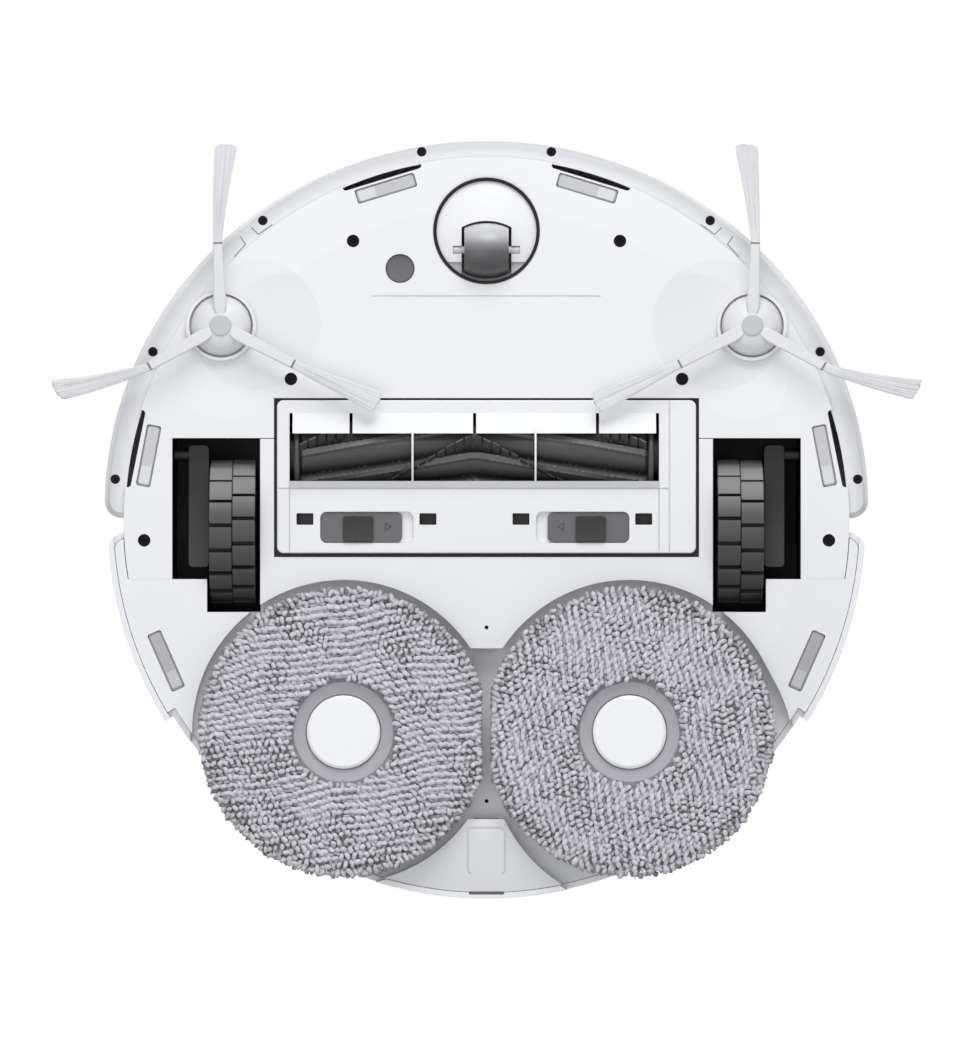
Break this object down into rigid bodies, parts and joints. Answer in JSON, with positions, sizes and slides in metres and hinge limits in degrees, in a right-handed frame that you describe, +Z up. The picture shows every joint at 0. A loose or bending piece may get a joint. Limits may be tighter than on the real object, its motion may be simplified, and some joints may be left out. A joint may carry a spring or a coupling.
{
  "type": "robot vacuum",
  "caption": "Round robot vacuum and mop with a roller brush, side brushes, drive wheels, a caster, spinning mop pads, a sprung bumper and a laser turret.",
  "frame": {"origin": "on the floor below the centre of the round body", "axes": "+Z up, the bumper at the front towards -Y, +X to the robot's left side as it drives forward"},
  "size_m": [0.3932, 0.35, 0.103],
  "materials": {
    "white_shell": "satin white moulded plastic",
    "bristle": "pale nylon filament",
    "black_plastic": "black moulded plastic",
    "dark_grey_plastic": "dark grey moulded plastic",
    "tyre_rubber": "dark grey ribbed rubber",
    "roller_rubber": "soft dark rubber fins",
    "mop_chenille": "grey chenille microfibre",
    "sensor_window": "grey translucent plastic",
    "dark_window": "dark infrared window, polished",
    "lidar_cap": "satin white plastic",
    "black_screw": "black oxide steel",
    "steel": "plain steel",
    "contact": "plated contact",
    "board": "green circuit board",
    "cell": "sleeved battery cell",
    "smoke_plastic": "smoky translucent plastic",
    "filter_paper": "pleated filter paper in a frame"
  },
  "bodies": {
    "chassis": {"front_base_plate": "white_shell", "rear_base_cover": "white_shell", "upper_shell": "white_shell", "brush_bay": "black_plastic", "wheel_well_left": "black_plastic", "wheel_well_right": "black_plastic", "caster_socket": "dark_grey_plastic", "cliff_windows": "sensor_window", "floor_sensor_window": "dark_window", "base_screws": "black_screw", "main_board": "board", "battery": "cell", "suction_fan": "black_plastic", "roller_gearbox": "black_plastic", "side_brush_gearboxes": "black_plastic", "water_tank": "smoke_plastic", "dust_bin": "smoke_plastic", "dust_filter": "filter_paper", "lidar_turret": "lidar_cap", "charge_contacts": "contact", "rear_window": "dark_window", "roller_end_caps": "black_plastic", "suspension_spring_left": "steel", "suspension_spring_right": "steel"},
    "bumper": {"bumper": "white_shell", "bumper_window": "dark_window", "bumper_screws": "black_screw"},
    "top_cover": {"top_cover": "white_shell"},
    "lidar_rotor": {"lidar_rotor": "black_plastic"},
    "power_button": {"power_button": "lidar_cap"},
    "home_button": {"home_button": "lidar_cap"},
    "brush_guard": {"brush_guard": "white_shell"},
    "latch_left": {"latch_left": "dark_grey_plastic"},
    "latch_right": {"latch_right": "dark_grey_plastic"},
    "roller": {"roller_core": "black_plastic", "roller_fins": "roller_rubber"},
    "side_brush_left": {"side_brush_hub_left": "white_shell", "side_brush_bristles_left": "bristle"},
    "side_brush_right": {"side_brush_hub_right": "white_shell", "side_brush_bristles_right": "bristle"},
    "drive_arm_left": {"drive_arm_left": "dark_grey_plastic"},
    "drive_arm_right": {"drive_arm_right": "dark_grey_plastic"},
    "drive_wheel_left": {"drive_rim_left": "dark_grey_plastic", "drive_tyre_left": "tyre_rubber"},
    "drive_wheel_right": {"drive_rim_right": "dark_grey_plastic", "drive_tyre_right": "tyre_rubber"},
    "caster_fork": {"caster_fork": "white_shell", "caster_axle": "steel"},
    "caster_wheel": {"caster_wheel": "tyre_rubber"},
    "mop_lift_left": {"mop_motor_left": "black_plastic"},
    "mop_left": {"mop_plate_left": "white_shell", "mop_pad_left": "mop_chenille"},
    "mop_arm_right": {"mop_arm_right": "black_plastic"},
    "mop_lift_right": {"mop_motor_right": "black_plastic"},
    "mop_right": {"mop_plate_right": "white_shell", "mop_pad_right": "mop_chenille"}
  },
  "joints": [
    {"name": "bumper_press", "type": "slide", "parent": "chassis", "child": "bumper", "axis": [0, 1, 0], "range_m": [0, 0.004], "stiffness_N_per_m": 600, "springref_m": -0.003},
    {"name": "top_cover_hinge", "type": "hinge", "parent": "chassis", "child": "top_cover", "pos_m": [0, -0.0201, 0.0823], "axis": [-1, 0, 0], "range_deg": [0, 70]},
    {"name": "lidar_spin", "type": "hinge", "parent": "chassis", "child": "lidar_rotor", "pos_m": [0, 0.042, 0.09], "axis": [0, 0, 1], "continuous": true},
    {"name": "power_button_press", "type": "slide", "parent": "chassis", "child": "power_button", "axis": [0, 0, -1], "range_m": [0, 0.001], "stiffness_N_per_m": 800, "springref_m": -0.001},
    {"name": "home_button_press", "type": "slide", "parent": "chassis", "child": "home_button", "axis": [0, 0, -1], "range_m": [0, 0.001], "stiffness_N_per_m": 800, "springref_m": -0.001},
    {"name": "guard_hinge", "type": "hinge", "parent": "chassis", "child": "brush_guard", "pos_m": [0, -0.054, 0.0115], "axis": [-1, 0, 0], "range_deg": [0, 35]},
    {"name": "latch_left_slide", "type": "slide", "parent": "brush_guard", "child": "latch_left", "axis": [1, 0, 0], "range_m": [0, 0.005], "stiffness_N_per_m": 300, "springref_m": -0.002},
    {"name": "latch_right_slide", "type": "slide", "parent": "brush_guard", "child": "latch_right", "axis": [-1, 0, 0], "range_m": [0, 0.005], "stiffness_N_per_m": 300, "springref_m": -0.002},
    {"name": "roller_spin", "type": "hinge", "parent": "chassis", "child": "roller", "pos_m": [0, -0.029, 0.024], "axis": [1, 0, 0], "continuous": true},
    {"name": "side_brush_left_spin", "type": "hinge", "parent": "chassis", "child": "side_brush_left", "pos_m": [-0.1225, -0.0895, 0.008], "axis": [0, 0, 1], "continuous": true},
    {"name": "side_brush_right_spin", "type": "hinge", "parent": "chassis", "child": "side_brush_right", "pos_m": [0.1225, -0.0895, 0.008], "axis": [0, 0, 1], "continuous": true},
    {"name": "suspension_left", "type": "hinge", "parent": "chassis", "child": "drive_arm_left", "pos_m": [-0.133, -0.03, 0.022], "axis": [-1, 0, 0], "range_deg": [0, 18], "stiffness_Nm_per_rad": 0.9, "springref_deg": 17.19, "deforming": ["suspension_spring_left", "side_brush_bristles_left"]},
    {"name": "drive_wheel_left_spin", "type": "hinge", "parent": "drive_arm_left", "child": "drive_wheel_left", "pos_m": [-0.1173, 0.006, 0.0339], "axis": [1, 0, 0], "continuous": true},
    {"name": "suspension_right", "type": "hinge", "parent": "chassis", "child": "drive_arm_right", "pos_m": [0.133, -0.03, 0.022], "axis": [-1, 0, 0], "range_deg": [0, 18], "stiffness_Nm_per_rad": 0.9, "springref_deg": 17.19, "deforming": ["suspension_spring_right", "side_brush_bristles_right"]},
    {"name": "drive_wheel_right_spin", "type": "hinge", "parent": "drive_arm_right", "child": "drive_wheel_right", "pos_m": [0.1173, 0.006, 0.0339], "axis": [1, 0, 0], "continuous": true},
    {"name": "caster_swivel", "type": "hinge", "parent": "chassis", "child": "caster_fork", "pos_m": [0, -0.1333, 0.02], "axis": [0, 0, 1], "continuous": true},
    {"name": "caster_roll", "type": "hinge", "parent": "caster_fork", "child": "caster_wheel", "pos_m": [0, -0.1245, 0.0125], "axis": [1, 0, 0], "continuous": true},
    {"name": "mop_lift_left", "type": "slide", "parent": "chassis", "child": "mop_lift_left", "axis": [0, 0, 1], "range_m": [0, 0.009]},
    {"name": "mop_spin_left", "type": "hinge", "parent": "mop_lift_left", "child": "mop_left", "pos_m": [-0.0659, 0.0979, 0.01], "axis": [0, 0, 1], "continuous": true},
    {"name": "mop_arm_swing", "type": "hinge", "parent": "chassis", "child": "mop_arm_right", "pos_m": [0.016, 0.132, 0.026], "axis": [0, 0, 1], "range_deg": [0, 12]},
    {"name": "mop_lift_right", "type": "slide", "parent": "mop_arm_right", "child": "mop_lift_right", "axis": [0, 0, 1], "range_m": [0, 0.009]},
    {"name": "mop_spin_right", "type": "hinge", "parent": "mop_lift_right", "child": "mop_right", "pos_m": [0.0659, 0.0979, 0.01], "axis": [0, 0, 1], "continuous": true}
  ],
  "couplings": [
    {"joint": "mop_lift_right", "follows": "mop_lift_left", "ratio": 1},
    {"joint": "mop_spin_right", "follows": "mop_spin_left", "ratio": -1}
  ]
}
